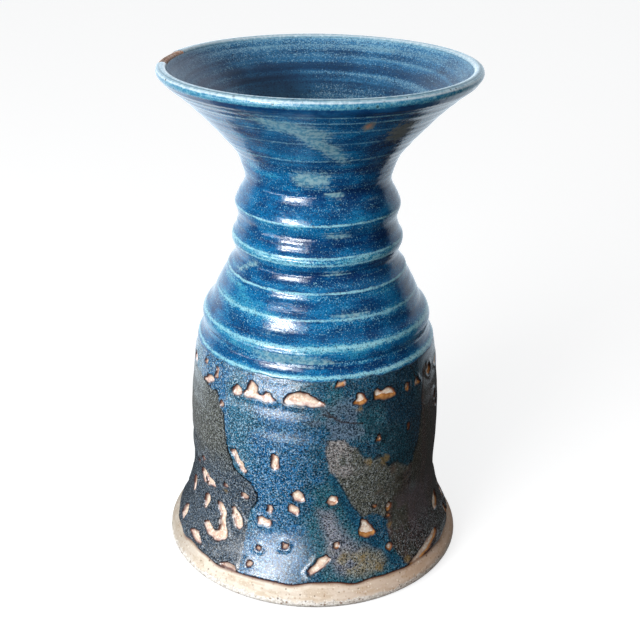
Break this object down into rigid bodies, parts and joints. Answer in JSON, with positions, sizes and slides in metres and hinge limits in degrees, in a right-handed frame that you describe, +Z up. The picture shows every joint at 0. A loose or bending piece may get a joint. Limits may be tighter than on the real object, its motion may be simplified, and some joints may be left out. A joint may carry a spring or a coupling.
{
  "type": "stoneware vase",
  "caption": "Wheel-thrown stoneware vase with a flared foot, straight wall, ridged neck and wide trumpet mouth, glazed blue above and dark mottled blue below.",
  "frame": {"origin": "on the axis, at the centre of the flat underside of the foot", "axes": "+Z up along the throwing axis, from the foot to the mouth; -Y towards the side with the large row of crawled patches"},
  "size_m": [0.15, 0.15, 0.246],
  "materials": {
    "bare_clay": "bare fired stoneware, sandy and matt",
    "dark_glaze": "dark blue, olive and brown mottled glaze, satin to gloss, crawled back from the clay in places",
    "blue_glaze": "deep blue gloss glaze that breaks pale turquoise over the ridges",
    "lining": "satin blue glaze, finely speckled"
  },
  "bodies": {
    "root": {"clay_body": "bare_clay", "lower_glaze": "dark_glaze", "upper_glaze": "blue_glaze", "lining_glaze": "lining"}
  },
  "joints": []
}
